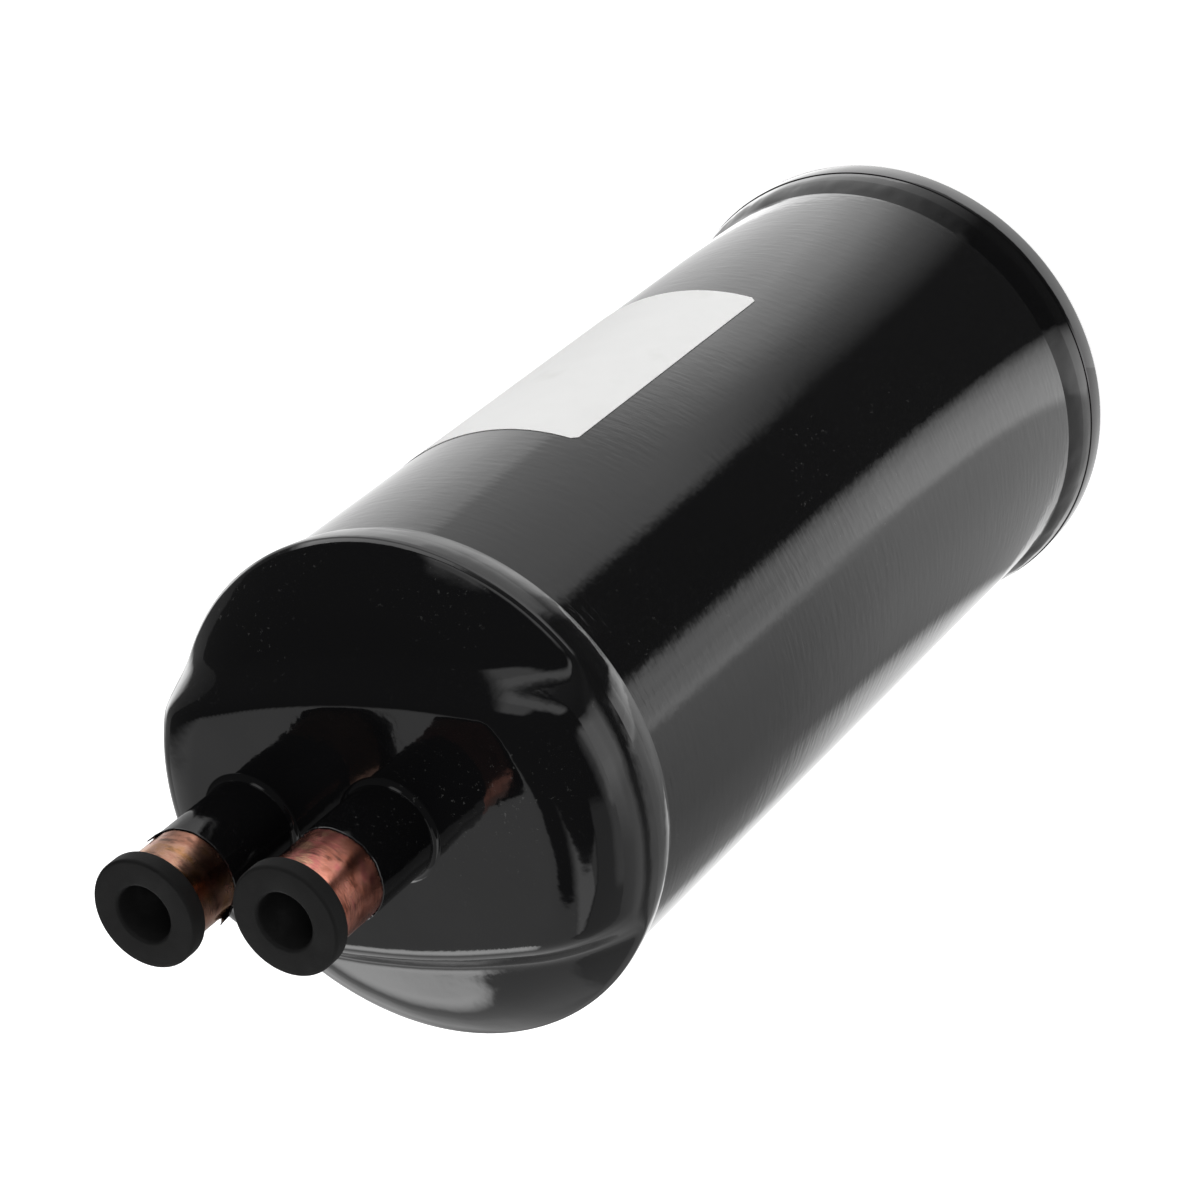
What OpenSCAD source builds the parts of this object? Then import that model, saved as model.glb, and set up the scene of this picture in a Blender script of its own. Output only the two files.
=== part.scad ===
// Suction line accumulator: a welded steel vessel that stands on its bottom head, +Z up.
// The origin is the centre of the flat on the bottom head. The two stubs stand on a ridge that is
// drawn up across the top head along X, and the label faces the front, -Y.

/* [Shell] */
// Outside diameter of the shell tube
shell_od = 127; // [110:1:150]
// Wall of the shell tube
shell_wall = 3; // [2:0.25:5]
// Length of shell between the skirt edges of the two heads
shell_exposed = 255; // [200:1:400]

/* [Heads] */
// Wall of the drawn heads
head_wall = 2.4; // [2:0.1:4]
// Gap between a head's skirt and the shell it laps over
skirt_gap = 0.15; // [0.1:0.05:0.3]
// Straight skirt of the top head
top_skirt = 0.9; // [0.6:0.1:15]
// Straight skirt of the bottom head
bottom_skirt = 5.8; // [2:0.1:15]
// Radius of the rim between a head's skirt and its dome
rim_round = 1.2; // [0.8:0.1:3]
// Height of the top head's dome above its rim
top_crown = 8; // [5:0.5:14]
// Height of the bottom head's dome below its rim
bottom_crown = 6; // [5:0.5:14]
// Width of the dome's steep edge, from the rim in to the face
dome_w = 17; // [12:0.5:18]
// Rise of the top head's gentle crown, from the rim to the middle, where the ridge doesn't cover it
crown_cap = 7; // [0:0.5:9]

/* [Ridge on the top head] */
// Rise of the ridge above the dome
ridge_rise = 11.1; // [6:0.1:14]
// Half width of the flat on top of the ridge, in the middle
ridge_flat = 32; // [24:0.5:38]
// Radius that the long edges of the flat are bowed to
ridge_bow_r = 260; // [150:10:600]
// Width of the ridge's sloping sides
ridge_slope = 10; // [7:0.5:16]
// Width of the ridge's rounded ends, in from the rim
ridge_end = 12; // [8:0.5:15]
// Squareness of the ridge's ends: 2 is elliptic, more is squarer
ridge_square = 3; // [2:0.1:4]

/* [Welds] */
// Length of each weld along the shell
weld_len = 10.5; // [5:0.5:15]
// Lip of skirt edge that the weld leaves bare
weld_lip = 0.5; // [0.2:0.1:1]
// Bulge of the weld's face
weld_bulge = 0.5; // [0.1:0.1:1]

/* [Stubs] */
// Outside diameter of a stub
stub_od = 24.1; // [20:0.1:26]
// Wall of a stub
stub_wall = 0.9; // [0.8:0.1:1.5]
// Height of a stub above the ridge
stub_rise = 39.7; // [30:0.1:60]
// Length of a stub below the underside of the head
stub_drop = 12; // [6:0.5:20]
// Distance from the shell's axis to the inlet stub
inlet_x = 34.2; // [30:0.1:36]
// Distance between the two stubs
stub_pitch = 40.6; // [38:0.1:46]
// Radial gap between a stub and its hole in the head
stub_gap = 0.1; // [0.05:0.05:0.2]
// Width of the braze fillet round a stub
braze_w = 2; // [1:0.1:3]
// Height of the braze fillet
braze_h = 2.6; // [1:0.1:4]

/* [Plugs] */
// Diameter of a plug's flange
plug_flange_od = 28.4; // [27:0.1:34]
// Thickness of a plug's flange
plug_flange_t = 5; // [3:0.1:8]
// Length of plug inside the stub
plug_body_len = 16; // [10:0.5:25]
// Radial gap between a plug and the stub
plug_gap = 0.05; // [0.02:0.01:0.1]
// Diameter of the blind recess in a plug
recess_d = 14.5; // [8:0.1:18]
// Depth of the blind recess
recess_depth = 15; // [8:0.5:18]
// Radius on a plug's edges
plug_edge = 0.9; // [0.4:0.1:1.5]

/* [Label] */
// Width of the label round the shell
label_w = 76; // [50:1:100]
// Height of the label
label_h = 96.5; // [60:0.5:130]
// Height of the label's lower edge above the floor
label_z = 101; // [60:1:120]
// Radius of the label's corners
label_corner = 4; // [1:0.5:8]
// Thickness of the label
label_t = 0.15; // [0.1:0.05:0.3]
// Film of glue under the label
label_glue = 0.05; // [0.02:0.01:0.1]
// Direction that the middle of the label faces
label_angle = -74.5; // [-110:0.5:-50]

/* [Inner tubes] */
// Radial gap between an inner tube and the stub it sits in
tube_gap = 0.05; // [0.02:0.01:0.1]
// Wall of the inner tubes
tube_wall = 1.2; // [0.8:0.1:2]
// Bend radius of the U-tube at its centre line
bend_r = 20; // [18:0.5:22]
// Gap between the bend and the bottom head
bend_clear = 10.8; // [10:0.1:20]
// Distance from the open mouth of the U-tube to the top of the ridge
mouth_drop = 50; // [35:1:80]
// Diameter of the equalising hole in the outlet leg
bleed_d = 2.4; // [1.5:0.1:4]
// Length of the inlet tube below its stub
inlet_drop = 42; // [30:1:60]
// Height of the window in the side of the inlet tube
window_h = 24; // [15:1:28]
// Thickness of the deflector that closes the inlet tube
deflector_t = 1.5; // [1:0.1:3]

/* [Oil return] */
// Diameter of the orifice fitting's shank
orifice_d = 8; // [6:0.5:10]
// Diameter of the metering hole
metering_d = 1.6; // [1:0.1:3]
// Diameter of the fitting's flange
orifice_flange_d = 16; // [13:0.5:18]
// Thickness of the fitting's flange
orifice_flange_t = 1.8; // [1.2:0.1:3]
// Shank left bare between that flange and the bend
orifice_neck = 1; // [0.6:0.1:1.6]
// Wall of the screen
screen_wall = 0.6; // [0.4:0.1:1]
// Gap between the screen and the bottom head
screen_clear = 2; // [1:0.1:3]
// Radial gap where the fitting and the screen seat
oil_gap = 0.05; // [0.02:0.01:0.1]

/* [Tube support] */
// Height of the support strap above the floor
support_z = 175; // [120:1:200]
// Width of the support strap
support_w = 34; // [30:1:38]
// Thickness of the support strap
support_t = 2; // [1.5:0.1:3]
// Depth of the strap's end tabs, which are welded to the shell
support_tab = 12; // [8:0.5:20]
// Gap between the strap and what it holds or meets
support_gap = 0.15; // [0.1:0.05:0.3]

/* [Hidden] */

// Colours
paint = [0.07, 0.07, 0.075];
copper = [0.78, 0.47, 0.36];
steel = [0.55, 0.56, 0.58];
brass = [0.72, 0.58, 0.30];
rubber = [0.16, 0.16, 0.16];
white = [0.95, 0.95, 0.94];

// Fineness of round faces, and of the drawn head's skin
round_fn = 96;
skin_sectors = 90;
dome_steps = 12;
face_steps = 8;
arc_steps = 8;
cut = 1;

// Radii
shell_r = shell_od / 2;
bore_r = shell_r - shell_wall;
skirt_r = shell_r + skirt_gap;
head_r = skirt_r + head_wall;
face_r = head_r - dome_w;
inner_flat = ridge_flat - head_wall / 2;
stub_r = stub_od / 2;
socket_r = stub_r - stub_wall;
tube_r = socket_r - tube_gap;
plug_r = socket_r - plug_gap;

// Heights, from the floor up
bottom_skirt_z = bottom_crown + rim_round;
bottom_edge_z = bottom_skirt_z + bottom_skirt;
top_edge_z = bottom_edge_z + shell_exposed;
top_skirt_z = top_edge_z + top_skirt;
ridge_z = top_skirt_z + rim_round + top_crown + ridge_rise;
head_under_z = ridge_z - head_wall;
stub_foot_z = head_under_z - stub_drop;
stub_top_z = ridge_z + stub_rise;

// The shell's ends stop just short of where the heads begin to curve
seat_gap = 0.2;
shell_foot_z = bottom_skirt_z + seat_gap;
shell_len = top_skirt_z - shell_foot_z - seat_gap;

// Inner tubes
outlet_x = inlet_x - stub_pitch;
bend_low_z = head_wall + bend_clear;
bend_z = bend_low_z + bend_r + tube_r;
leg_top_z = head_under_z;
mouth_z = ridge_z - mouth_drop;
inlet_foot_z = stub_foot_z - inlet_drop;

// Oil return, under the lowest point of the bend
flange_top_z = bend_low_z - orifice_neck;
screen_z = head_wall + screen_clear;
screen_r = orifice_flange_d / 2 + oil_gap + screen_wall;
screen_h = flange_top_z - screen_z;
screen_slots = 12;
screen_slot_w = 1.8;
screen_slot_h = screen_h - orifice_flange_t - 2 * screen_wall - cut;

// Share of a rounded step's height at a distance d in from the rim: 0 at the rim, 1 past the width w
function step_share(d, w, power) = d >= w ? 1 : pow(1 - pow(1 - d / w, power), 1 / power);

// Share of a dome's height: a parabola that levels out at the width w
function dome_share(d, w) = d >= w ? 1 : 1 - pow(1 - d / w, 2);

// Share of the ridge's height at a place on the face: 1 on its flat of half width flat, 0 past its foot
function ridge_share(x, y, flat) =
    let (t = (abs(y) - flat + pow(x, 2) / (2 * ridge_bow_r)) / ridge_slope)
    t <= 0 ? 1 : t >= 1 ? 0 : (1 + cos(180 * t)) / 2;

// Height of a head's outer skin over the end of its skirt, without the ridge
function outer_h(d, crown) = rim_round * step_share(d, rim_round, 2) + crown * dome_share(d, dome_w);

// Height of its inner skin, at a distance d in from the inside of the skirt
function inner_h(d, crown) = (rim_round + crown - head_wall) * dome_share(d, dome_w - head_wall);

// Distances in from the rim that the skins are drawn at, closest together near the rim
function dome_rings(w) = [for (k = [0 : dome_steps]) w * pow(k / dome_steps, 1.6)];

// Ring of points at radius r on a skin of the top head that starts at rim_r, where the dome has the height h
function skin_ring(r, rim_r, h, end_share, flat) =
    let (cap = crown_cap * (1 - pow(r / rim_r, 2)))
    [
        for (i = [0 : skin_sectors - 1])
            let (a = 360 * i / skin_sectors, x = r * cos(a), y = r * sin(a), share = ridge_share(x, y, flat))
            [x, y, h + cap * (1 - share) + ridge_rise * share * end_share]
    ];

// Rings across the face, from the dome's edge in to the ridge's flat, inside which the skin is level
function face_rings(rim_r, h, flat) = [
    for (k = [1 : face_steps])
        skin_ring(face_r + (flat - face_r) * k / face_steps, rim_r, h, 1, flat)
];

// Rings of the outer and inner skin, from the end of the skirt to near the middle of the face
function outer_rings() = concat(
    [for (d = dome_rings(dome_w))
        skin_ring(head_r - d, head_r, outer_h(d, top_crown),
            step_share(d, ridge_end, ridge_square), ridge_flat)],
    face_rings(head_r, rim_round + top_crown, ridge_flat)
);

function inner_rings() = concat(
    [for (d = dome_rings(dome_w - head_wall))
        skin_ring(skirt_r - d, skirt_r, inner_h(d, top_crown),
            step_share(d, ridge_end - head_wall, ridge_square), inner_flat)],
    face_rings(skirt_r, rim_round + top_crown - head_wall, inner_flat)
);

function lowered(ring, drop) = [for (p = ring) [p.x, p.y, p.z - drop]];

function reversed(list) = [for (i = [len(list) - 1 : -1 : 0]) list[i]];

function flattened(list) = [for (part = list) for (item = part) item];

// Points of a circular arc about (x, y)
function arc_points(x, y, r, from, to) = [
    for (k = [0 : arc_steps])
        let (a = from + (to - from) * k / arc_steps)
        [x + r * cos(a), y + r * sin(a)]
];

// Hollow round bar between two heights
module pipe(outer_r, inner_r, z0, z1) {
    difference() {
        translate([0, 0, z0])
            cylinder(r = outer_r, h = z1 - z0, $fn = round_fn);
        translate([0, 0, z0 - cut])
            cylinder(r = inner_r, h = z1 - z0 + 2 * cut, $fn = round_fn);
    }
}

module round_hole(d, z0, z1) {
    translate([0, 0, z0])
        cylinder(d = d, h = z1 - z0, $fn = round_fn);
}

// Rectangle with round corners, centred on the origin
module rounded_plate(w, h, r) {
    square([w - 2 * r, h], center = true);
    square([w, h - 2 * r], center = true);
    for (sx = [-1, 1], sy = [-1, 1])
        translate([sx * (w / 2 - r), sy * (h / 2 - r)])
            circle(r = r, $fn = round_fn);
}

module shell_tube() {
    color(paint)
        pipe(shell_r, bore_r, shell_foot_z, shell_foot_z + shell_len);
}

// Closed skin of the top head: up the inside from the middle to the skirt, and back over the outside
module head_skin() {
    inner = inner_rings();
    outer = outer_rings();
    tip_h = rim_round + top_crown + ridge_rise;
    rings = concat(reversed(inner), [lowered(inner[0], top_skirt), lowered(outer[0], top_skirt)], outer);
    count = len(rings);
    inner_tip = count * skin_sectors;
    outer_tip = inner_tip + 1;
    tips = [[0, 0, tip_h - head_wall], [0, 0, tip_h]];
    bands = [
        for (k = [0 : count - 2], i = [0 : skin_sectors - 1])
            let (j = (i + 1) % skin_sectors, a = k * skin_sectors, b = a + skin_sectors)
            each [[a + i, b + i, b + j], [a + i, b + j, a + j]]
    ];
    last = (count - 1) * skin_sectors;
    fans = [
        for (i = [0 : skin_sectors - 1])
            let (j = (i + 1) % skin_sectors)
            each [[inner_tip, i, j], [last + i, outer_tip, last + j]]
    ];
    polyhedron(points = concat(flattened(rings), tips), faces = concat(bands, fans), convexity = 6);
}

module top_head() {
    color(paint)
        difference() {
            translate([0, 0, top_skirt_z])
                head_skin();
            for (x = [inlet_x, outlet_x])
                translate([x, 0, 0])
                    round_hole(stub_od + 2 * stub_gap, head_under_z - cut, ridge_z + cut);
        }
}

module bottom_head() {
    outside = [for (d = dome_rings(dome_w)) [head_r - d, bottom_skirt_z - outer_h(d, bottom_crown)]];
    inside = [
        for (d = dome_rings(dome_w - head_wall))
            [skirt_r - d, bottom_skirt_z - inner_h(d, bottom_crown)]
    ];
    color(paint)
        rotate_extrude($fn = round_fn)
            polygon(concat([[0, head_wall], [0, 0]], reversed(outside),
                [[head_r, bottom_edge_z], [skirt_r, bottom_edge_z]], inside));
}

// Weld between the edge of a skirt, at height 0, and the shell below it
module weld_ring() {
    lip_r = head_r - weld_lip;
    face = [
        for (k = [0 : arc_steps])
            let (t = k / arc_steps)
            [shell_r + (lip_r - shell_r) * t + weld_bulge * sin(180 * t), weld_len * (t - 1)]
    ];
    rotate_extrude($fn = round_fn)
        polygon(concat(face, [[shell_r, 0]]));
}

module top_weld() {
    color(paint)
        translate([0, 0, top_edge_z])
            weld_ring();
}

module bottom_weld() {
    color(paint)
        translate([0, 0, bottom_edge_z])
            mirror([0, 0, 1])
                weld_ring();
}

module stub(x) {
    color(copper)
        translate([x, 0, 0])
            pipe(stub_r, socket_r, stub_foot_z, stub_top_z);
}

module inlet_stub() {
    stub(inlet_x);
}

module outlet_stub() {
    stub(outlet_x);
}

// Concave fillet of braze round the foot of a stub
module braze(x) {
    fillet = [
        for (k = [0 : arc_steps])
            let (a = 90 * k / arc_steps)
            [stub_r + braze_w * (1 - sin(a)), braze_h * (1 - cos(a))]
    ];
    color(paint)
        translate([x, 0, ridge_z])
            rotate_extrude($fn = round_fn)
                polygon(concat([[stub_r, 0]], fillet));
}

module inlet_braze() {
    braze(inlet_x);
}

module outlet_braze() {
    braze(outlet_x);
}

// Stopper with a flange that rests on the stub's end, and a blind recess in its face
module plug(x) {
    flange_r = plug_flange_od / 2;
    recess_r = recess_d / 2;
    e = plug_edge;
    profile = concat(
        [[0, plug_flange_t - recess_depth], [recess_r, plug_flange_t - recess_depth]],
        arc_points(recess_r + e, plug_flange_t - e, e, 180, 90),
        arc_points(flange_r - e, plug_flange_t - e, e, 90, 0),
        arc_points(flange_r - e, e, e, 0, -90),
        [[plug_r, 0], [plug_r, e - plug_body_len], [plug_r - e, -plug_body_len], [0, -plug_body_len]]
    );
    color(rubber)
        translate([x, 0, stub_top_z])
            rotate_extrude($fn = round_fn)
                polygon(profile);
}

module inlet_plug() {
    plug(inlet_x);
}

module outlet_plug() {
    plug(outlet_x);
}

module label() {
    inner_r = shell_r + label_glue;
    chord = shell_od * sin(label_w / shell_od * 180 / PI);
    color(white)
        rotate([0, 0, label_angle])
            intersection() {
                pipe(inner_r + label_t, inner_r, label_z - cut, label_z + label_h + cut);
                translate([0, 0, label_z + label_h / 2])
                    rotate([90, 0, 90])
                        linear_extrude(height = shell_od)
                            rounded_plate(chord, label_h, label_corner);
            }
}

// Drop tube under the inlet stub, with a window that turns the flow along the shell
module inlet_tube() {
    window_z = inlet_foot_z + deflector_t + 2 * cut;
    color(steel)
        translate([inlet_x, 0, 0])
            difference() {
                pipe(tube_r, tube_r - tube_wall, inlet_foot_z, leg_top_z);
                translate([-tube_r / 2, 0, window_z])
                    cube([tube_r, tube_r + cut, window_h]);
            }
}

module inlet_deflector() {
    color(steel)
        translate([inlet_x, 0, inlet_foot_z])
            cylinder(r = tube_r - tube_wall - tube_gap, h = deflector_t, $fn = round_fn);
}

// Outlet leg, return bend and open leg in one bent tube
module u_tube() {
    color(copper)
        difference() {
            union() {
                translate([outlet_x, 0, 0])
                    pipe(tube_r, tube_r - tube_wall, bend_z, leg_top_z);
                translate([outlet_x, 2 * bend_r, 0])
                    pipe(tube_r, tube_r - tube_wall, bend_z, mouth_z);
                translate([outlet_x, bend_r, bend_z])
                    rotate([-90, 0, 90])
                        rotate_extrude(angle = 180, $fn = round_fn)
                            translate([bend_r, 0])
                                difference() {
                                    circle(r = tube_r, $fn = round_fn);
                                    circle(r = tube_r - tube_wall, $fn = round_fn);
                                }
            }
            translate([outlet_x, bend_r, 0])
                round_hole(orifice_d + 2 * oil_gap, bend_low_z - cut, bend_low_z + tube_wall + 2 * cut);
            translate([outlet_x, 0, stub_foot_z - tube_r])
                rotate([90, 0, 0])
                    cylinder(d = bleed_d, h = tube_r + cut, $fn = round_fn);
        }
}

// Metering fitting in the lowest point of the bend
module oil_orifice() {
    color(brass)
        translate([outlet_x, bend_r, 0])
            difference() {
                union() {
                    round_hole(orifice_d, flange_top_z - orifice_flange_t, bend_low_z + tube_wall);
                    round_hole(orifice_flange_d, flange_top_z - orifice_flange_t, flange_top_z);
                }
                round_hole(metering_d, flange_top_z - orifice_flange_t - cut, bend_low_z + tube_wall + cut);
            }
}

// Slotted cup that is pushed over the fitting's flange
module oil_screen() {
    color(steel)
        translate([outlet_x, bend_r, 0])
            difference() {
                round_hole(2 * screen_r, screen_z, flange_top_z);
                round_hole(2 * (screen_r - screen_wall), screen_z + screen_wall, flange_top_z + cut);
                for (i = [0 : screen_slots - 1])
                    rotate([0, 0, (i + 0.5) * 360 / screen_slots])
                        translate([screen_r / 2, -screen_slot_w / 2, screen_z + 2 * screen_wall])
                            cube([screen_r, screen_slot_w, screen_slot_h]);
            }
}

// Strap across the shell that both legs of the U-tube pass through
module tube_support() {
    reach = bore_r - support_gap;
    color(steel)
        difference() {
            intersection() {
                union() {
                    round_hole(2 * reach, support_z, support_z + support_t);
                    pipe(reach, reach - support_t, support_z - support_tab, support_z + support_t);
                }
                translate([outlet_x - support_w / 2, -shell_od, support_z - support_tab - cut])
                    cube([support_w, 2 * shell_od, support_tab + support_t + 2 * cut]);
            }
            for (y = [0, 2 * bend_r])
                translate([outlet_x, y, 0])
                    round_hole(2 * (tube_r + support_gap), support_z - cut, support_z + support_t + cut);
        }
}

shell_tube();
top_head();
bottom_head();
top_weld();
bottom_weld();
inlet_stub();
outlet_stub();
inlet_braze();
outlet_braze();
inlet_plug();
outlet_plug();
label();
inlet_tube();
inlet_deflector();
u_tube();
oil_orifice();
oil_screen();
tube_support();
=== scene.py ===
"""Looks of the suction line accumulator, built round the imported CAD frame.

Smooth skins stand for the glossy solids, because flat facets show in gloss paint. They follow the same
named sizes as the solids. The inner pieces, which the vessel hides, keep their CAD meshes.
"""
import math

import bpy
from mathutils import Matrix, Vector, noise

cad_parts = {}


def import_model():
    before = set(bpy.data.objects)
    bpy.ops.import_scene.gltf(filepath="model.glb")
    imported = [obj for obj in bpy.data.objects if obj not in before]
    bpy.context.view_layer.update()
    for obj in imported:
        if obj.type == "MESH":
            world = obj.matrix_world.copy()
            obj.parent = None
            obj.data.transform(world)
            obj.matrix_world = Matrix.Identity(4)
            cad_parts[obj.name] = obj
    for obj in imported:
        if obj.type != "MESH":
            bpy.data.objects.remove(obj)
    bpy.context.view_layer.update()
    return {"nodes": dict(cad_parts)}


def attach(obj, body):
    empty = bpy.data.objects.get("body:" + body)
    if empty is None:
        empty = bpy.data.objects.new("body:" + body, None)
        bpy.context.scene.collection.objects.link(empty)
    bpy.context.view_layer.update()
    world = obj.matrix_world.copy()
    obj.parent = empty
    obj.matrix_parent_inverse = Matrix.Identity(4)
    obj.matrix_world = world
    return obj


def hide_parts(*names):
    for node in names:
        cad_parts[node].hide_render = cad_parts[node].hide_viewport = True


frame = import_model()

MM = 0.001
BODY = "root"

# Shell and heads, in millimetres. Names that end in _Z are heights above the floor.
SHELL_R = 63.5
SHELL_WALL = 3.0
SHELL_EXPOSED = 255.0
SEAT_GAP = 0.2
SKIRT_R = 63.65
HEAD_WALL = 2.4
HEAD_R = SKIRT_R + HEAD_WALL
RIM_ROUND = 1.2
DOME_W = 17.0
FACE_R = HEAD_R - DOME_W
BOTTOM_CROWN = 6.0
BOTTOM_SKIRT = 5.8
BOTTOM_SKIRT_Z = BOTTOM_CROWN + RIM_ROUND
BOTTOM_EDGE_Z = BOTTOM_SKIRT_Z + BOTTOM_SKIRT
TOP_CROWN = 8.0
TOP_SKIRT = 0.9
TOP_EDGE_Z = BOTTOM_EDGE_Z + SHELL_EXPOSED
TOP_SKIRT_Z = TOP_EDGE_Z + TOP_SKIRT

# Crown and ridge of the top head
CROWN_CAP = 7.0
RIDGE_RISE = 11.1
RIDGE_FLAT = 32.0
RIDGE_BOW_R = 260.0
RIDGE_SLOPE = 10.0
RIDGE_END = 12.0
RIDGE_SQUARE = 3.0
RIDGE_Z = TOP_SKIRT_Z + RIM_ROUND + TOP_CROWN + RIDGE_RISE

# Stubs with their brazes and plugs
STUB_R = 12.05
SOCKET_R = 11.15
STUB_DROP = 12.0
STUB_RISE = 39.7
STUB_PITCH = 40.6
STUB_FOOT_Z = RIDGE_Z - HEAD_WALL - STUB_DROP
STUB_TOP_Z = RIDGE_Z + STUB_RISE
INLET_X = 34.2
OUTLET_X = INLET_X - STUB_PITCH
BRAZE_W = 2.0
BRAZE_H = 2.6
PLUG_R = 11.1
PLUG_FLANGE_R = 14.2
PLUG_FLANGE_T = 5.0
PLUG_BODY_LEN = 16.0
PLUG_EDGE = 0.9
RECESS_R = 7.25
RECESS_DEPTH = 15.0

# Sticker on the shell
LABEL_W = 76.0
LABEL_H = 96.5
LABEL_Z = 101.0
LABEL_T = 0.15
LABEL_GLUE = 0.05
LABEL_R = SHELL_R + LABEL_GLUE
LABEL_ANGLE = math.radians(-74.5)

# Welds
WELD_LEN = 10.5
WELD_BULGE = 0.5

# Trim that is finer here than in the solids
WELD_LIP = 0.25
EDGE_ROUND = 0.2
LABEL_CORNER = 1.5

# Unevenness that only the looks have. A layer of noise is its fineness and its size.
WELD_WAVES = ((1.0, 1.0), (3.1, 0.5), (7.3, 0.15))
WELD_WAVES_ROUND = 9
WELD_WAVES_ALONG = 0.06
BRAZE_WAVES_ROUND = 1.7
BRAZE_UNEVEN = 0.12

# Coat of paint on a stub: thickness, gap under it, length at its edge that is torn, and layers of the tear
COAT_T = 0.35
COAT_GAP = 0.01
COAT_TORN = 1.5
COAT_TEAR = ((1.3, 1.0), (4.0, 0.5), (13.0, 0.25))
COAT_THIN_EDGE = 0.7

# Fineness of the skins: steps round a piece, and rings or rows across it
TURN_STEPS = 288
STUB_STEPS = 128
PLUG_STEPS = 144
BRAZE_STEPS = 160
COAT_STEPS = 360
CARD_STEPS = 180
TOP_RINGS = 56
TOP_INNER_RINGS = 14
BOTTOM_RINGS = 16
BOTTOM_INNER_RINGS = 12
RING_CROWDING = 1.8
SHELL_ROWS = 40
WELD_ROWS = 24
BRAZE_ROWS = 18
LABEL_COLUMNS = 96
LABEL_ROWS = 64
# Share of a weld's rows that have the dull paint of its toe
WELD_TOE_SHARE = 0.58
# Radius of the small face that closes a turned piece in the middle
HEAD_TIP_R = 0.4
PLUG_TIP_R = 0.3
SHARP_ANGLE = math.radians(38)

# Heat tints of the two stubs, as stops of a ramp: the inlet brown and tan, the outlet salmon and rose
INLET_TINTS = [
    (0.30, (0.30, 0.13, 0.08)), (0.42, (0.48, 0.23, 0.16)), (0.50, (0.56, 0.31, 0.22)),
    (0.58, (0.54, 0.27, 0.12)), (0.66, (0.56, 0.28, 0.23)), (0.78, (0.40, 0.17, 0.11)),
]
OUTLET_TINTS = [
    (0.30, (0.40, 0.13, 0.08)), (0.40, (0.70, 0.26, 0.18)), (0.48, (0.82, 0.34, 0.25)),
    (0.55, (0.80, 0.26, 0.23)), (0.63, (0.84, 0.46, 0.30)), (0.76, (0.52, 0.19, 0.12)),
]
# Flakes of the inlet's coat: angle and width in degrees, reach past the edge and lift off the stub
INLET_FLAKES = ((-60, 7, 4.0, 0.4), (-232, 12, 4.0, 1.1))
# Stubs: name, place, length left bare, raggedness and seed of the coat's edge, flakes, tints
STUBS = (
    ("inlet", INLET_X, 14.3, 0.5, 2.0, INLET_FLAKES, INLET_TINTS),
    ("outlet", OUTLET_X, 17.0, 0.6, 7.0, (), OUTLET_TINTS),
)

# Camera fitted to the photograph: place in metres, its own axes, and lens and sensor in millimetres
CAMERA_PLACE = (-0.5319, -0.3494, 0.9302)
CAMERA_RIGHT = (-0.8417, 0.2268, -0.4900)
CAMERA_UP = (-0.0035, -0.9098, -0.4150)
CAMERA_FORWARD = (0.5399, 0.3476, -0.7666)
CAMERA_LENS = 115.3
CAMERA_SENSOR = 36
CAMERA_CLIP = (0.05, 60)

# Floor: size and height in metres, and the share of its white that shows to the eye even in shadow
FLOOR_SIZE = 6
FLOOR_HEIGHT = -0.0004
FLOOR_LIFT = 0.75

# Lamps: name, place and target in metres, size in metres, power in watts
LAMPS = (
    ("key", (0.10, -0.95, 0.62), (0, 0, 0.17), 0.55, 3.2),
    ("top_fill", (-0.55, -0.25, 1.05), (0, 0, 0.3), 0.5, 5),
    ("back_fill", (0.35, 0.95, 0.55), (0, 0, 0.17), 0.6, 6),
)

# Cards that lie on the floor round the vessel, which only reflections see. Each list has their brightness by
# direction, in degrees from +X, at one distance, from the skirt outwards. None is brighter than CARD_LIGHT.
CARD_LIGHT = 2.5
CARD_HEIGHT = 0.0012
SKIRT_STOPS = [
    (-180, 1.6), (-150, 1.6), (-120, 2.2), (-60, 2.2), (0, 1.5), (90, 1.2), (150, 1.2),
]
NEAR_STOPS = [
    (-180, 2.2), (-174, 1.9), (-170, 1.3), (-166, 0.07), (-130, 0.07), (-121, 0.45), (-113, 0.75),
    (-100, 1.5), (-85, 1.85), (-60, 1.5), (-33, 0.95), (0, 0.9), (103, 1.2), (108, 1.05), (115, 0.4),
    (140, 0.8), (160, 1.05), (171, 1.25), (174, 2.2),
]
MIDDLE_STOPS = [
    (-180, 1.35), (-175, 1.45), (-171, 1.2), (-167, 0.06), (-131, 0.06), (-126, 0.9), (-114, 1.0),
    (-70, 1.0), (-65, 1.4), (-45, 1.55), (-20, 1.3), (5, 1.15), (68, 1.25), (79, 1.1), (85, 0.45),
    (107, 0.35), (130, 0.45), (150, 0.65), (168, 0.9), (172, 1.8), (176, 1.5),
]
STUB_STOPS = [
    (-180, 0.08), (-148, 0.07), (-145, 1.3), (-133, 1.5), (-109, 1.45), (-85, 1.2), (-60, 0.75),
    (-40, 0.45), (13, 0.45), (60, 0.3), (105, 0.16), (140, 0.17), (165, 0.14), (174, 0.08),
]
RIM_STOPS = [
    (-180, 1.5), (-171, 1.45), (-165, 0.9), (-160, 0.15), (-118, 0.12), (-104, 0.7), (-60, 0.65),
    (-22, 0.65), (-14, 2.2), (6, 2.2), (13, 0.6), (45, 0.5), (60, 0.25), (105, 0.4), (125, 0.64),
    (150, 0.85), (165, 1.0), (170, 1.25), (176, 1.5),
]
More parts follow.
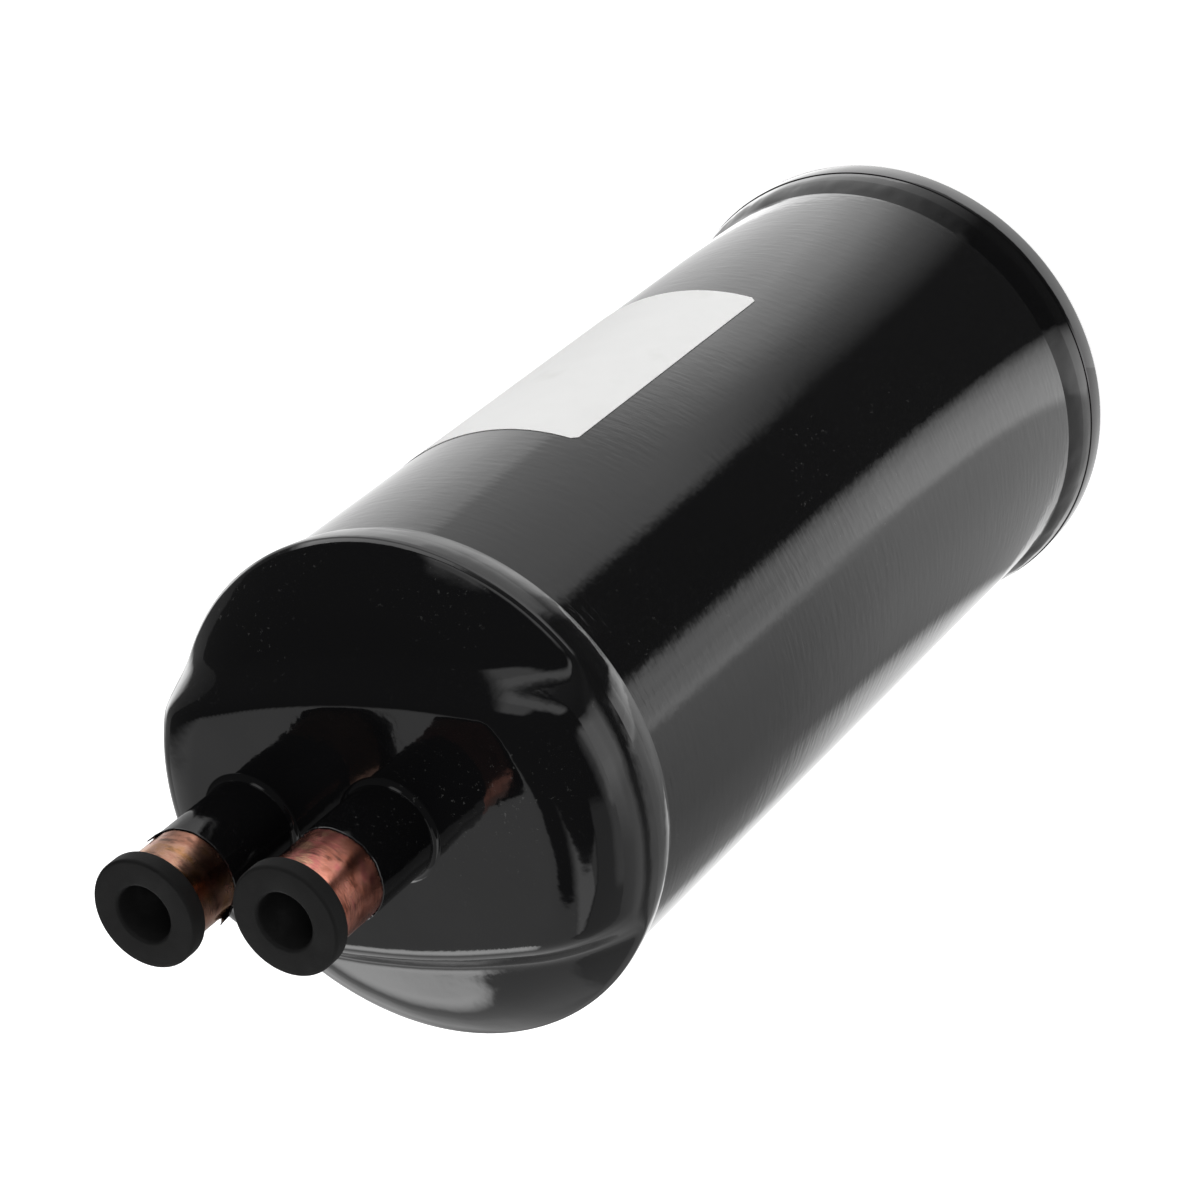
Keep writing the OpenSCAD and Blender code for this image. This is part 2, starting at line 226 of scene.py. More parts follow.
FAR_STOPS = [
    (-180, 1.8), (-170, 1.75), (-163, 0.1), (-148, 0.1), (-112, 0.15), (-102, 0.4), (-95, 1.7),
    (-42, 2.2), (-35, 0.1), (14, 0.2), (38, 0.9), (58, 0.7), (84, 0.5), (120, 0.5), (145, 0.7),
    (158, 1.05), (168, 1.5), (175, 1.9),
]
# Rings of cards: name, inner and outer radius in metres, the stops that they go from and to, and the radii
# between which they do so
CARD_RINGS = (
    ("skirt_cards", 0.0665, 0.0745, SKIRT_STOPS, SKIRT_STOPS, (0.0665, 0.0745)),
    ("near_cards", 0.0745, 0.29, NEAR_STOPS, MIDDLE_STOPS, (0.15, 0.21)),
    ("stub_cards", 0.29, 0.36, MIDDLE_STOPS, STUB_STOPS, (0.29, 0.325)),
    ("rim_cards", 0.36, 0.55, STUB_STOPS, RIM_STOPS, (0.36, 0.46)),
    ("far_cards", 0.55, 4.3, RIM_STOPS, FAR_STOPS, (0.55, 0.77)),
)

# Room that reflections see: its dim walls, and glowing panels of a brightness and the edges that bound them.
# An edge is a way to look along, and the shares of that way at which the glow starts and is full.
ROOM_LIGHT = 0.05
ROOM_PANELS = [
    # back wall: its upper part, its lower left and its lower right
    (0.62, [((0, 1, 0), 0.16, 0.32), ((0, 0, 1), 0.84, 0.81), ((-0.5, 0, 1), 0.95, 0.92),
            ((0, 0, 1), 0.55, 0.64)]),
    (0.62, [((0, 1, 0), 0.16, 0.32), ((0, 0, 1), 0.70, 0.64), ((1, 0, 0), -0.05, 0.10)]),
    (0.36, [((0, 1, 0), 0.16, 0.32), ((0, 0, 1), 0.62, 0.56)]),
    # bright right end of the upper part
    (1.25, [((-1, 0, 0), -0.10, 0.15), ((1, 0, 0), -0.47, -0.42), ((0, 0, 1), 0.57, 0.64),
            ((-0.5, 0, 1), 0.95, 0.92), ((0, 1, 0), 0.30, 0.40)]),
    # tall strip at the back left
    (4.0, [((1, 0, 0), 0.40, 0.54), ((0, 1, 0), 0.38, 0.52), ((0, 0, 1), 0.67, 0.57), ((0, 0, 1), 0.0, 0.5)]),
    # right side, brighter low down
    (0.75, [((-1, 0, 0), 0.55, 0.75), ((0, 1, 0), -0.2, -0.1), ((0, 0, 1), 0.36, 0.05)]),
    (1.5, [((-1, 0, 0), 0.90, 0.97), ((0, 1, 0), -0.22, -0.14), ((0, 0, 1), 0.22, 0.0)]),
    # box at the front and its low right end
    (0.9, [((0.927, -0.375, 0), 0.0, 0.16), ((-0.978, -0.208, 0), 0.0, 0.2), ((0, 0, 1), -0.06, 0.10),
           ((0, 0, 1), 0.60, 0.40)]),
    (1.2, [((0.574, -0.819, 0), 0.0, 0.16), ((-0.978, -0.208, 0), 0.0, 0.2), ((0, 0, 1), -0.06, 0.04),
           ((0, 0, 1), 0.26, 0.10)]),
]
# Plain level at which the room lights what doesn't mirror it
ROOM_FILL = 0.30


def node_adder(owner):
    """Empties the node tree of a material or world, and returns a maker of its nodes.

    An input of a new node is a plain value, or a socket of another node that is linked to it.
    """
    owner.use_nodes = True
    tree = owner.node_tree
    tree.nodes.clear()

    def add(kind, inputs=(), **settings):
        made = tree.nodes.new(kind)
        for key, value in settings.items():
            setattr(made, key, value)
        for socket, value in dict(inputs).items():
            if isinstance(value, bpy.types.NodeSocket):
                tree.links.new(value, made.inputs[socket])
            else:
                made.inputs[socket].default_value = value
        return made

    return add


def shade(add, inputs):
    """Ends a material with a principled shader."""
    shader = add("ShaderNodeBsdfPrincipled", inputs)
    add("ShaderNodeOutputMaterial", {"Surface": shader.outputs["BSDF"]})


def grey(value):
    return (value, value, value)


def opaque(colour):
    return (*colour, 1.0)


def ramp(add, factor, stops):
    """Colour ramp with (position, colour) stops."""
    made = add("ShaderNodeValToRGB", {"Fac": factor})
    elements = made.color_ramp.elements
    while len(elements) < len(stops):
        elements.new(0.5)
    for element, (position, colour) in zip(elements, stops):
        element.position = position
        element.color = opaque(colour)
    return made.outputs["Color"]


def calculate(add, operation, first, second):
    return add("ShaderNodeMath", {0: first, 1: second}, operation=operation).outputs[0]


def mix_colours(add, share, first, second, blend_type="MIX"):
    """Mix of two colours, by the numbers of the node's colour sockets, since their names aren't unique."""
    made = add("ShaderNodeMix", {0: share, 6: first, 7: second}, data_type="RGBA", blend_type=blend_type)
    return made.outputs[2]


def mix_shaders(add, share, first, second):
    return add("ShaderNodeMixShader", {0: share, 1: first, 2: second}).outputs["Shader"]


def glow(add, colour, strength):
    return add("ShaderNodeEmission", {"Color": colour, "Strength": strength}).outputs["Emission"]


def object_coords(add):
    return add("ShaderNodeTexCoord").outputs["Object"]


def object_noise(add, coords, scale, detail=2.0, stretch=(1, 1, 1), roughness=0.5):
    """Noise in object space; scale counts features per metre."""
    place = add("ShaderNodeMapping", {"Vector": coords, "Scale": stretch})
    made = add("ShaderNodeTexNoise", {
        "Vector": place.outputs["Vector"], "Scale": scale, "Detail": detail, "Roughness": roughness})
    return made.outputs["Fac"]


def bump(add, layers):
    """Chain of bumps from (height, depth in metres) pairs."""
    normal = None
    for height, depth in layers:
        inputs = {"Height": height, "Distance": depth, "Strength": 1.0}
        if normal is not None:
            inputs["Normal"] = normal
        normal = add("ShaderNodeBump", inputs).outputs["Normal"]
    return normal


def paint_material(name, peel_depth, streak_depth, swell_depth, gloss=0.5):
    """Gloss black enamel with orange peel, streaks round the vessel, slow swells, dust and faint scuffs."""
    material = bpy.data.materials.new(name)
    add = node_adder(material)
    coords = object_coords(add)
    dust = object_noise(add, coords, 700, 3, roughness=0.7)
    patches = object_noise(add, coords, 26, 3)
    specks = ramp(add, dust, [(0.0, grey(0)), (0.64, grey(0)), (0.71, grey(1))])
    where = ramp(add, patches, [(0.0, grey(0)), (0.50, grey(0.04)), (0.66, grey(0.6))])
    dusting = calculate(add, "MULTIPLY", specks, where)
    smear = object_noise(add, coords, 60, 4)
    peel = object_noise(add, coords, 330, 1.5)
    swell = object_noise(add, coords, 48, 1)
    streaks = object_noise(add, coords, 400, 2, stretch=(0.33, 0.33, 1.75))
    shade(add, {
        "Base Color": ramp(add, dusting, [(0.0, (0.0035, 0.0035, 0.0038)), (1.0, (0.07, 0.07, 0.068))]),
        "Roughness": ramp(add, smear, [(0.3, grey(0.04)), (0.75, grey(0.09))]),
        "Normal": bump(add, [(swell, swell_depth), (peel, peel_depth), (streaks, streak_depth)]),
        "IOR": 1.5,
        "Specular IOR Level": gloss,
    })
    return material


def copper_material(name, tints):
    """Drawn copper, heat-tinted by the brazing, with fine scratches round the tube. tints are ramp stops."""
    material = bpy.data.materials.new(name)
    add = node_adder(material)
    coords = object_coords(add)
    tint = object_noise(add, coords, 85, 4, stretch=(1, 1, 1.5), roughness=0.6)
    grime = object_noise(add, coords, 300, 4, stretch=(0.6, 0.6, 1.6))
    stain = ramp(add, grime, [(0.0, grey(1)), (0.56, grey(1)), (0.72, grey(0.35))])
    scratches = object_noise(add, coords, 300, 3, stretch=(1.1, 1.1, 6.5))
    wear = object_noise(add, coords, 140, 3)
    shade(add, {
        "Base Color": mix_colours(add, 1.0, ramp(add, tint, tints), stain, "MULTIPLY"),
        "Roughness": ramp(add, wear, [(0.3, grey(0.14)), (0.7, grey(0.30))]),
        "Normal": bump(add, [(wear, 0.00002), (scratches, 0.000018)]),
        "Metallic": 1.0,
    })
    return material


def rubber_material():
    """Moulded rubber: matte, faintly dusty, with a fine grain."""
    material = bpy.data.materials.new("rubber_moulded")
    add = node_adder(material)
    coords = object_coords(add)
    bloom = object_noise(add, coords, 130, 4)
    grain = object_noise(add, coords, 2600, 2)
    shade(add, {
        "Base Color": ramp(add, bloom, [(0.25, grey(0.006)), (0.6, grey(0.009)), (0.8, grey(0.017))]),
        "Roughness": ramp(add, bloom, [(0.3, grey(0.62)), (0.7, grey(0.78))]),
        "Normal": bump(add, [(grain, 0.00004), (bloom, 0.0001)]),
        "Specular IOR Level": 0.22,
    })
    return material


def label_material():
    """Blank white coated sticker with a soft sheen and a little handling grime."""
    material = bpy.data.materials.new("label_blank")
    add = node_adder(material)
    coords = object_coords(add)
    handling = object_noise(add, coords, 45, 4)
    fibre = object_noise(add, coords, 1400, 3)
    whites = [(0.3, (0.86, 0.86, 0.85)), (0.6, (0.90, 0.90, 0.89)), (0.8, (0.80, 0.80, 0.78))]
    shade(add, {
        "Base Color": ramp(add, handling, whites),
        "Roughness": ramp(add, handling, [(0.3, grey(0.32)), (0.7, grey(0.45))]),
        "Normal": bump(add, [(handling, 0.00006), (fibre, 0.00001)]),
    })
    return material


def metal_material(name, dark, light, roughness):
    """Bare metal of the inner pieces, brushed along the tube."""
    material = bpy.data.materials.new(name)
    add = node_adder(material)
    coords = object_coords(add)
    brush = object_noise(add, coords, 300, 3, stretch=(4, 4, 0.2))
    stain = object_noise(add, coords, 50, 3)
    shade(add, {
        "Base Color": ramp(add, stain, [(0.3, dark), (0.7, light)]),
        "Roughness": ramp(add, brush, [(0.3, grey(roughness - 0.08)), (0.7, grey(roughness + 0.08))]),
        "Normal": bump(add, [(brush, 0.00002)]),
        "Metallic": 1.0,
    })
    return material


def new_piece(name, points, faces, material, replaced):
    """Mesh piece from points in millimetres, smooth except at sharp edges, riding on the body."""
    mesh = bpy.data.meshes.new(name)
    mesh.from_pydata([Vector(p) * MM for p in points], [], faces)
    mesh.validate()
    mesh.shade_smooth()
    mesh.set_sharp_from_angle(angle=SHARP_ANGLE)
    mesh.materials.append(material)
    piece = bpy.data.objects.new(name, mesh)
    bpy.context.scene.collection.objects.link(piece)
    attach(piece, BODY)
    if replaced:
        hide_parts(replaced)
    return piece


def ring_mesh(rings, closed):
    """Points and quads over rings of equal length; closed joins the last ring to the first."""
    count = len(rings[0])
    points = [p for ring in rings for p in ring]
    pairs = [(k, k + 1) for k in range(len(rings) - 1)]
    if closed:
        pairs.append((len(rings) - 1, 0))
    faces = []
    for a, b in pairs:
        for i in range(count):
            j = (i + 1) % count
            faces.append((a * count + i, a * count + j, b * count + j, b * count + i))
    if not closed:
        faces.append(tuple(reversed(range(count))))
        faces.append(tuple(range((len(rings) - 1) * count, len(rings) * count)))
    return points, faces


def turns(steps):
    """Angles of equal steps round a full turn."""
    return [2 * math.pi * i / steps for i in range(steps)]


def lathe(profile, x=0.0, closed=False, shift=None, steps=TURN_STEPS):
    """Turns a profile of (r, z) points about the vertical line at x.

    shift takes each point's radius, height and angle, and returns its new radius and height.
    """
    rings = []
    for r, z in profile:
        ring = []
        for a in turns(steps):
            pr, pz = shift(r, z, a) if shift else (r, z)
            ring.append((x + pr * math.cos(a), pr * math.sin(a), pz))
        rings.append(ring)
    return ring_mesh(rings, closed)


def arc(cx, cz, radius, start, end, steps=8):
    """Profile points of an arc about (cx, cz), in degrees."""
    return [(cx + radius * math.cos(math.radians(start + (end - start) * k / steps)),
             cz + radius * math.sin(math.radians(start + (end - start) * k / steps)))
            for k in range(steps + 1)]


def line(start, end, steps):
    """Profile points from start towards end, without the end."""
    return [(start[0] + (end[0] - start[0]) * k / steps, start[1] + (end[1] - start[1]) * k / steps)
            for k in range(steps)]


def layered_noise(spot, layers):
    return sum(size * noise.noise(spot * fineness) for fineness, size in layers)


def step_share(d, w, power):
    """Share of a rounded step's height at a distance d in from the rim, which is whole past the width w."""
    return 1.0 if d >= w else (1 - (1 - d / w) ** power) ** (1 / power)


def dome_share(d, w):
    """Share of a dome's height at a distance d in from the rim, which is whole past the width w."""
    return 1.0 if d >= w else 1 - (1 - d / w) ** 2


def ridge_share(x, y, flat):
    """Share of the ridge's height: whole on its flat between two bowed edges, and none past its slopes."""
    t = (abs(y) - flat + x * x / (2 * RIDGE_BOW_R)) / RIDGE_SLOPE
    return 1.0 if t <= 0 else 0.0 if t >= 1 else (1 + math.cos(math.pi * t)) / 2


def outer_h(d, crown):
    """Height of a head's outside over its skirt, at a distance d in from the rim."""
    return RIM_ROUND * step_share(d, RIM_ROUND, 2) + crown * dome_share(d, DOME_W)


def inner_h(d, crown):
    """Height of a head's inside over its skirt, at a distance d in from the bore of the skirt."""
    return (RIM_ROUND + crown - HEAD_WALL) * dome_share(d, DOME_W - HEAD_WALL)


def dome_steps(w, count):
    """Distances in from the rim, close together near it, to a small ring round the middle."""
    slope = [w * (k / count) ** RING_CROWDING for k in range(count + 1)]
    flat = [w + (FACE_R - HEAD_TIP_R) * k / count for k in range(1, count + 1)]
    return slope + flat


def head_ring(r, rim_r, h, end_share, flat):
    """Ring of the top head at a radius, raised by its crown and its ridge."""
    ring = []
    for a in turns(TURN_STEPS):
        x, y = r * math.cos(a), r * math.sin(a)
        share = ridge_share(x, y, flat)
        cap = CROWN_CAP * (1 - (r / rim_r) ** 2) * (1 - share)
        ring.append((x, y, TOP_SKIRT_Z + h + cap + RIDGE_RISE * share * end_share))
    return ring


def top_head(material):
    """Drawn head with the ridge across it: one skin, inside and out."""
    inner_flat = RIDGE_FLAT - HEAD_WALL / 2
    inner = [head_ring(SKIRT_R - d, SKIRT_R, inner_h(d, TOP_CROWN),
                       step_share(d, RIDGE_END - HEAD_WALL, RIDGE_SQUARE), inner_flat)
             for d in dome_steps(DOME_W - HEAD_WALL, TOP_INNER_RINGS)]
    outer = [head_ring(HEAD_R - d, HEAD_R, outer_h(d, TOP_CROWN),
                       step_share(d, RIDGE_END, RIDGE_SQUARE), RIDGE_FLAT)
             for d in dome_steps(DOME_W, TOP_RINGS)]
    edge_in = [(x, y, TOP_EDGE_Z) for x, y, z in inner[0]]
    edge_out = [(x, y, TOP_EDGE_Z) for x, y, z in outer[0]]
    points, faces = ring_mesh(inner[::-1] + [edge_in, edge_out] + outer, False)
    return new_piece("top_head_skin", points, faces, material, "top_head")


def bottom_head(material):
    """Dished head without a ridge, with a round edge on its skirt."""
    outside = [(HEAD_R - d, BOTTOM_SKIRT_Z - outer_h(d, BOTTOM_CROWN))
               for d in dome_steps(DOME_W, BOTTOM_RINGS)]
    inside = [(SKIRT_R - d, BOTTOM_SKIRT_Z - inner_h(d, BOTTOM_CROWN))
              for d in dome_steps(DOME_W - HEAD_WALL, BOTTOM_INNER_RINGS)]
    rim = arc(HEAD_R - EDGE_ROUND, BOTTOM_EDGE_Z - EDGE_ROUND, EDGE_ROUND, 0, 90, 4)
    profile = outside[::-1] + rim + [(SKIRT_R, BOTTOM_EDGE_Z)] + inside
    points, faces = lathe(profile)
    return new_piece("bottom_head_skin", points, faces, material, "bottom_head")


def shell(material):
    """Rolled tube between the heads."""
    foot = BOTTOM_SKIRT_Z + SEAT_GAP
    top = TOP_SKIRT_Z - SEAT_GAP
    bore = SHELL_R - SHELL_WALL
    outside = line((SHELL_R, foot), (SHELL_R, top), SHELL_ROWS) + [(SHELL_R, top)]
    profile = outside + [(bore, top), (bore, foot)]
    points, faces = lathe(profile, closed=True)
    return new_piece("shell_skin", points, faces, material, "shell_tube")


def weld_profile(edge_z, way):
    """Bead from the toe on the shell to the edge of the skirt.

    way is 1 under the top head and -1 over the bottom head.
    """
    lip = HEAD_R - WELD_LIP
    bead = []
    for k in range(WELD_ROWS + 1):
        t = k / WELD_ROWS
        r = SHELL_R + (lip - SHELL_R) * t + WELD_BULGE * math.sin(math.pi * t)
        bead.append((r, edge_z + way * WELD_LEN * (t - 1)))
    return bead + [(SHELL_R, edge_z)]


def weld(name, edge_z, way, ripple, seed, materials, replaced):
    """Weld bead with the slow wander and the ripples of a hand that turned the vessel.

    materials holds the dull paint of its toe and the gloss of its crown beside the skirt.
    """
    def shift(r, z, a):
        share = max(0.0, min(1.0, (r - SHELL_R) / (HEAD_R - WELD_LIP - SHELL_R)))
        spot = Vector((math.cos(a) * WELD_WAVES_ROUND, math.sin(a) * WELD_WAVES_ROUND,
                       seed + z * WELD_WAVES_ALONG))
        lift = ripple * layered_noise(spot, WELD_WAVES) * math.sin(math.pi * share)
        return (max(SHELL_R, r + lift), z)

    points, faces = lathe(weld_profile(edge_z, way), closed=True, shift=shift)
    if way < 0:
        faces = [tuple(reversed(f)) for f in faces]
    piece = new_piece(name, points, faces, materials[0], replaced)
    piece.data.materials.append(materials[1])
    crown = round(WELD_ROWS * WELD_TOE_SHARE) * TURN_STEPS
    for polygon in piece.data.polygons:
        polygon.material_index = 0 if polygon.index < crown else 1
    return piece


def stub(name, x, material, replaced):
    """Copper tube that stands through the top head."""
    profile = [(STUB_R, STUB_FOOT_Z), (STUB_R, RIDGE_Z), (STUB_R, STUB_TOP_Z), (SOCKET_R, STUB_TOP_Z),
               (SOCKET_R, STUB_FOOT_Z)]
    points, faces = lathe(profile, x, closed=True, steps=STUB_STEPS)
    return new_piece(name, points, faces, material, replaced)


def stub_paint(name, x, bare, ragged, seed, flakes, material):
    """Thick coat of paint on a stub, with a ragged upper edge and flakes that run past it and stand off."""
    edge, tip, lift = [], [], []
    for a in turns(COAT_STEPS):
        spot = Vector((math.cos(a), math.sin(a), seed))
        edge.append(STUB_TOP_Z - bare + ragged * layered_noise(spot, COAT_TEAR))
        reach, rise = 0.0, 0.0
        for angle, width, flake_reach, flake_lift in flakes:
            away = abs((math.degrees(a) - angle + 180) % 360 - 180)
            share = max(0.0, 1 - (away / width) ** 2)
            reach += flake_reach * share
            rise += flake_lift * min(1.0, 2 * share)
        tip.append(edge[-1] + reach)
        lift.append(rise)

    def ring(height, thick):
        """Ring at a height from 0 at the head to 1 where the edge is torn, and 2 at the tips."""
        made = []
        for i, a in enumerate(turns(COAT_STEPS)):
            foot = edge[i] - COAT_TORN
            low = RIDGE_Z + (foot - RIDGE_Z) * min(1.0, height)
            z = low + (tip[i] - foot) * max(0.0, height - 1)
            r = STUB_R + COAT_GAP + thick + lift[i] * max(0.0, height - 1) ** 1.5
            made.append((x + r * math.cos(a), r * math.sin(a), z))
        return made

    outside = [ring(height, COAT_T) for height in (0, 0.5, 1, 1.25, 1.5, 1.75, 1.9)]
    inside = [ring(height, 0.0) for height in (2, 1.6, 1.3, 1, 0)]
    points, faces = ring_mesh(outside + [ring(2, COAT_T * COAT_THIN_EDGE)] + inside, True)
    return new_piece(name, points, faces, material, None)


def braze(name, x, material, replaced):
    """Concave fillet of filler, a little uneven, under the same paint."""
    fillet = []
    for k in range(BRAZE_ROWS + 1):
        turn = math.radians(90 * k / BRAZE_ROWS)
        fillet.append((STUB_R + BRAZE_W * (1 - math.sin(turn)), RIDGE_Z + BRAZE_H * (1 - math.cos(turn))))

    def shift(r, z, a):
        spot = Vector((math.cos(a) * BRAZE_WAVES_ROUND, math.sin(a) * BRAZE_WAVES_ROUND, x))
        grow = 1 + BRAZE_UNEVEN * noise.noise(spot)
        return (STUB_R + (r - STUB_R) * grow, RIDGE_Z + (z - RIDGE_Z) * min(1.0, grow))

    points, faces = lathe(fillet + [(STUB_R, RIDGE_Z)], x, closed=True, shift=shift, steps=BRAZE_STEPS)
    return new_piece(name, points, faces, material, replaced)


def plug(name, x, material, replaced):
    """Rubber plug with a flange on the stub's end and a blind recess."""
    e = PLUG_EDGE
    face_z = STUB_TOP_Z + PLUG_FLANGE_T
    floor_z = face_z - RECESS_DEPTH
    foot_z = STUB_TOP_Z - PLUG_BODY_LEN
    profile = (
        [(PLUG_TIP_R, floor_z)]
        + arc(RECESS_R - e, floor_z + e, e, -90, 0)
        + arc(RECESS_R + e, face_z - e, e, 180, 90)
        + arc(PLUG_FLANGE_R - e, face_z - e, e, 90, 0)
        + arc(PLUG_FLANGE_R - e, STUB_TOP_Z + e, e, 0, -90)
        + [(PLUG_R, STUB_TOP_Z), (PLUG_R, foot_z + e), (PLUG_R - e, foot_z), (PLUG_TIP_R, foot_z)]
    )
    points, faces = lathe(profile[::-1], x, steps=PLUG_STEPS)
    return new_piece(name, points, faces, material, replaced)


def corner_cut(inset):
    """How far a corner takes the sticker's side in, at a distance from the sticker's end."""
    if inset >= LABEL_CORNER:
        return 0.0
    return LABEL_CORNER - math.sqrt(max(0.0, LABEL_CORNER ** 2 - (LABEL_CORNER - inset) ** 2))


def label(material):
    """Sticker with its corners cut, wrapped on the shell."""
    columns, rows = LABEL_COLUMNS, LABEL_ROWS
    outer, inner = [], []
    for j in range(rows + 1):
        v = LABEL_H * j / rows
        half = LABEL_W / 2 - corner_cut(min(v, LABEL_H - v))
        for i in range(columns + 1):
            u = half * (2 * i / columns - 1)
            a = LABEL_ANGLE + u / LABEL_R
            for skin, r in ((outer, LABEL_R + LABEL_T), (inner, LABEL_R)):
                skin.append((r * math.cos(a), r * math.sin(a), LABEL_Z + v))
    width = columns + 1
    base = len(outer)
    faces = []
    for j in range(rows):
        for i in range(columns):
            k = j * width + i
            faces.append((k, k + 1, k + 1 + width, k + width))
            faces.append((base + k, base + k + width, base + k + 1 + width, base + k + 1))
    border = (list(range(columns)) + [j * width + columns for j in range(rows)]
              + [rows * width + i for i in range(columns, 0, -1)] + [j * width for j in range(rows, 0, -1)])
    for a, b in zip(border, border[1:] + border[:1]):
        faces.append((b, a, base + a, base + b))
    return new_piece("label_sheet", outer + inner, faces, material, "label")


def dress_inner_nodes():
    """The pieces inside the vessel keep their CAD meshes and get bare-metal finishes."""
    steel = metal_material("steel_bare", (0.30, 0.30, 0.31), (0.52, 0.52, 0.53), 0.42)
    brass = metal_material("brass_turned", (0.50, 0.36, 0.13), (0.68, 0.52, 0.22), 0.30)
    inner_copper = metal_material("copper_inner", (0.55, 0.25, 0.17), (0.74, 0.38, 0.26), 0.34)
    finishes = {"inlet_tube": steel, "inlet_deflector": steel, "oil_screen": steel, "tube_support": steel,
                "oil_orifice": brass, "u_tube": inner_copper}
    for node, finish in finishes.items():
        piece = frame["nodes"][node]
        piece.data.materials.clear()
        piece.data.materials.append(finish)


def camera():
    """Camera with a long lens that looks down on the stubs, rolled over."""
    data = bpy.data.cameras.new("camera")
    data.lens = CAMERA_LENS
    data.sensor_width = CAMERA_SENSOR
    data.clip_start, data.clip_end = CAMERA_CLIP
    made = bpy.data.objects.new("camera", data)
    bpy.context.scene.collection.objects.link(made)
    axes = (Vector(CAMERA_RIGHT), Vector(CAMERA_UP), -Vector(CAMERA_FORWARD))
    made.matrix_world = Matrix.Translation(Vector(CAMERA_PLACE)) @ Matrix(axes).transposed().to_4x4()
    bpy.context.scene.camera = made


def world():
    """White to the eye. Reflections see the panels of a dim room, and everything else gets an even fill."""
    made = bpy.data.worlds.new("studio")
    bpy.context.scene.world = made
    add = node_adder(made)
    look = add("ShaderNodeTexCoord").outputs["Generated"]

    def edge(way, start, full):
        """Share that goes from 0 at start to 1 at full, along a way to look."""
        along = add("ShaderNodeVectorMath", {0: look, 1: way}, operation="DOT_PRODUCT").outputs["Value"]
        share = add("ShaderNodeMapRange", {"Value": along, "From Min": start, "From Max": full},
                    interpolation_type="SMOOTHSTEP")
        return share.outputs["Result"]

    def background(colour):
        return add("ShaderNodeBackground", {"Color": colour}).outputs["Background"]

    room = ROOM_LIGHT
    for brightness, edges in ROOM_PANELS:
        panel = edge(*edges[0])
        for bound in edges[1:]:
            panel = calculate(add, "MULTIPLY", panel, edge(*bound))
        panel = calculate(add, "MULTIPLY", panel, brightness)
        room = calculate(add, "MAXIMUM", panel, room)

    path = add("ShaderNodeLightPath").outputs
    seen = calculate(add, "MAXIMUM", path["Is Camera Ray"], path["Is Transmission Ray"])
    light = mix_shaders(add, path["Is Glossy Ray"], background(opaque(grey(ROOM_FILL))), background(room))
    add("ShaderNodeOutputWorld", {"Surface": mix_shaders(add, seen, light, background(opaque(grey(1.0))))})


def studio():
    """White floor, rings of reflection cards on it round the vessel, and soft lamps."""
    bpy.ops.mesh.primitive_plane_add(size=FLOOR_SIZE, location=(0, 0, FLOOR_HEIGHT))
    floor = bpy.context.object
    floor.name = "floor"
    floor.data.materials.append(floor_material())

    for name, inner_r, outer_r, near_stops, far_stops, blend in CARD_RINGS:
        card_ring(name, inner_r, outer_r, card_material(f"{name}_light", near_stops, far_stops, blend))

    for name, place, target, size, watts in LAMPS:
        lamp(name, place, target, size, watts)


def floor_material():
    """Pale floor that keeps a faint shadow for the eye, and shows as the white ground in reflections."""
    material = bpy.data.materials.new("floor_white")
    add = node_adder(material)
    white = opaque(grey(1.0))
    path = add("ShaderNodeLightPath").outputs
    pale = add("ShaderNodeBsdfPrincipled", {"Base Color": opaque(grey(0.86)), "Roughness": 0.8})
    plain = pale.outputs["BSDF"]
    lifted = add("ShaderNodeAddShader", {0: plain, 1: glow(add, white, FLOOR_LIFT)}).outputs["Shader"]
    lit = mix_shaders(add, path["Is Camera Ray"], plain, lifted)
    mirrored = calculate(add, "MAXIMUM", path["Is Glossy Ray"], path["Is Transmission Ray"])
    add("ShaderNodeOutputMaterial", {"Surface": mix_shaders(add, mirrored, lit, glow(add, white, 1.0))})
    material.cycles.emission_sampling = "NONE"
    return material


def card_ring(name, inner_r, outer_r, material):
    """Flat ring on the floor that only reflections see."""
    count = CARD_STEPS
    points = [(r * math.cos(a), r * math.sin(a), CARD_HEIGHT)
              for r in (outer_r, inner_r) for a in turns(count)]
    faces = [(i, (i + 1) % count, count + (i + 1) % count, count + i) for i in range(count)]
    mesh = bpy.data.meshes.new(name)
    mesh.from_pydata(points, [], faces)
    mesh.materials.append(material)
    card = bpy.data.objects.new(name, mesh)
    bpy.context.scene.collection.objects.link(card)
    card.visible_camera = False
    card.visible_diffuse = False
    card.visible_shadow = False
    card.visible_transmission = False


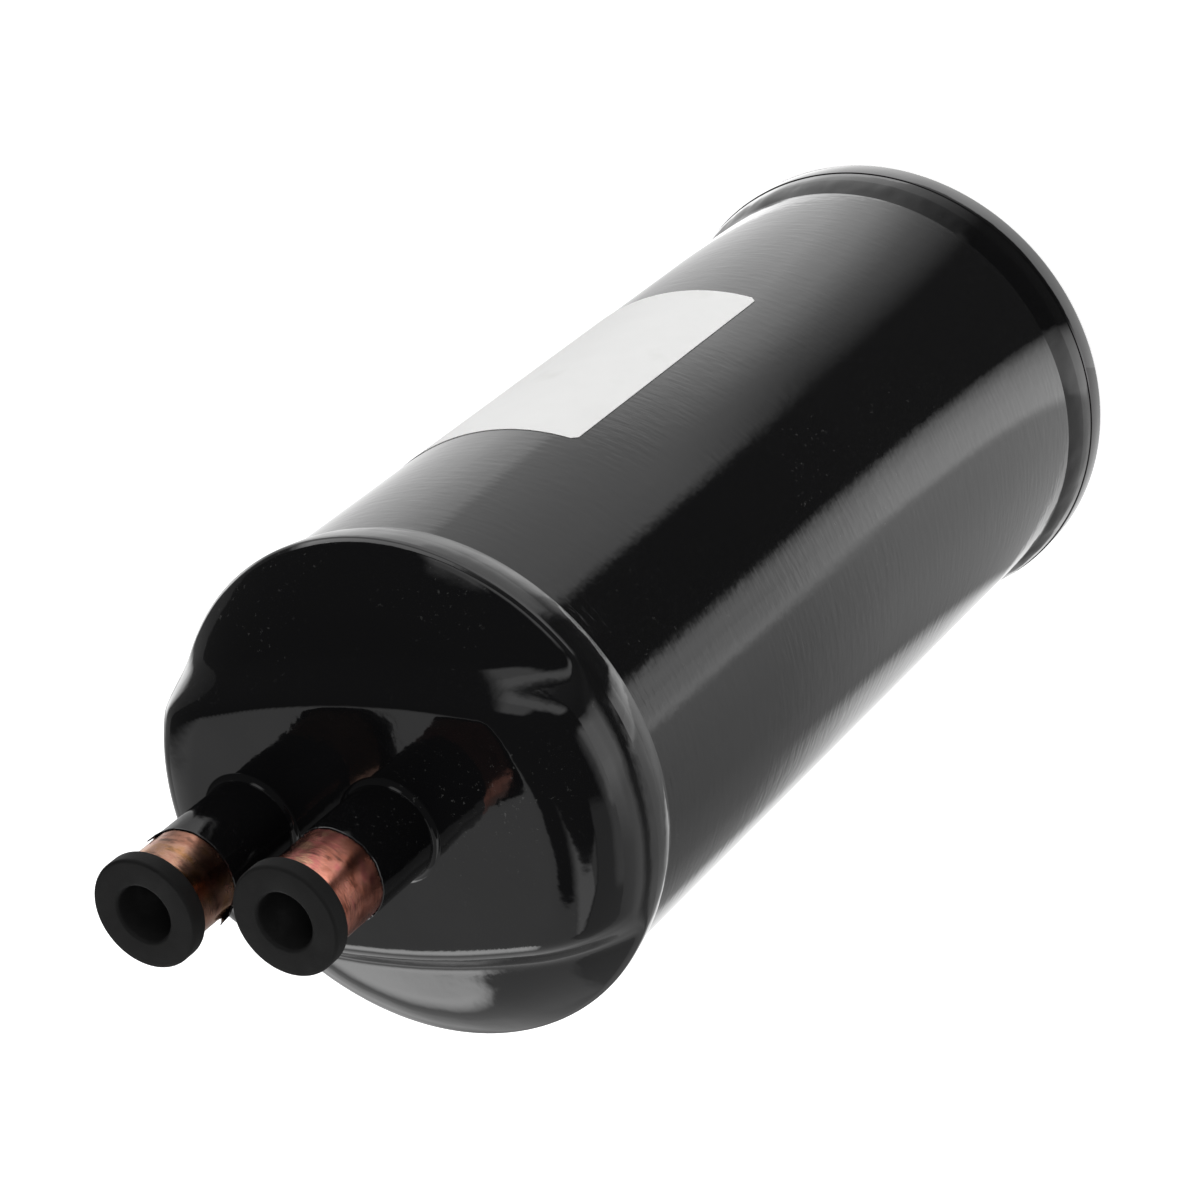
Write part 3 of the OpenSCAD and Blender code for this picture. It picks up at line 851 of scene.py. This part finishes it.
def card_material(name, near_stops, far_stops, blend):
    """Glow that changes with the direction from the vessel, and over the blend from near to far stops."""
    material = bpy.data.materials.new(name)
    add = node_adder(material)
    coords = object_coords(add)
    turn = add("ShaderNodeTexGradient", {"Vector": coords}, gradient_type="RADIAL").outputs["Fac"]
    distance = add("ShaderNodeVectorMath", {0: coords}, operation="LENGTH").outputs["Value"]
    share = add("ShaderNodeMapRange", {
        "Value": distance, "From Min": blend[0], "From Max": blend[1]}).outputs["Result"]
    near, far = [ramp(add, turn, [((angle + 180) / 360, grey(light / CARD_LIGHT)) for angle, light in stops])
                 for stops in (near_stops, far_stops)]
    light = glow(add, mix_colours(add, share, near, far), CARD_LIGHT)
    add("ShaderNodeOutputMaterial", {"Surface": light})
    material.cycles.emission_sampling = "NONE"
    return material


def lamp(name, place, target, size, watts):
    """Soft area lamp that reflections don't see."""
    data = bpy.data.lights.new(name, "AREA")
    data.energy = watts
    data.size = size
    made = bpy.data.objects.new(name, data)
    bpy.context.scene.collection.objects.link(made)
    made.location = place
    made.rotation_euler = (Vector(target) - Vector(place)).to_track_quat("-Z", "Y").to_euler()
    made.visible_glossy = False


camera()
world()
studio()

paint = paint_material("paint_black", peel_depth=0.00003, streak_depth=0.000004, swell_depth=0.0005)
shell_paint = paint_material("paint_shell", peel_depth=0.00003, streak_depth=0.000045, swell_depth=0.00006)
weld_paint = paint_material("paint_weld", peel_depth=0.00004, streak_depth=0.000004, swell_depth=0.00006,
                            gloss=0.3)
rubber = rubber_material()

shell(shell_paint)
top_head(paint)
bottom_head(paint)
weld("top_weld_bead", TOP_EDGE_Z, 1, 0.12, 3.0, (weld_paint, paint), "top_weld")
weld("bottom_weld_bead", BOTTOM_EDGE_Z, -1, 0.32, 11.0, (weld_paint, paint), "bottom_weld")
for side, x, bare, ragged, seed, flakes, tints in STUBS:
    stub(f"{side}_stub_tube", x, copper_material(f"copper_{side}", tints), f"{side}_stub")
    stub_paint(f"{side}_stub_coat", x, bare, ragged, seed, flakes, paint)
    braze(f"{side}_braze_fillet", x, paint, f"{side}_braze")
    plug(f"{side}_plug_rubber", x, rubber, f"{side}_plug")
label(label_material())
dress_inner_nodes()

bpy.context.scene.view_settings.view_transform = "Standard"
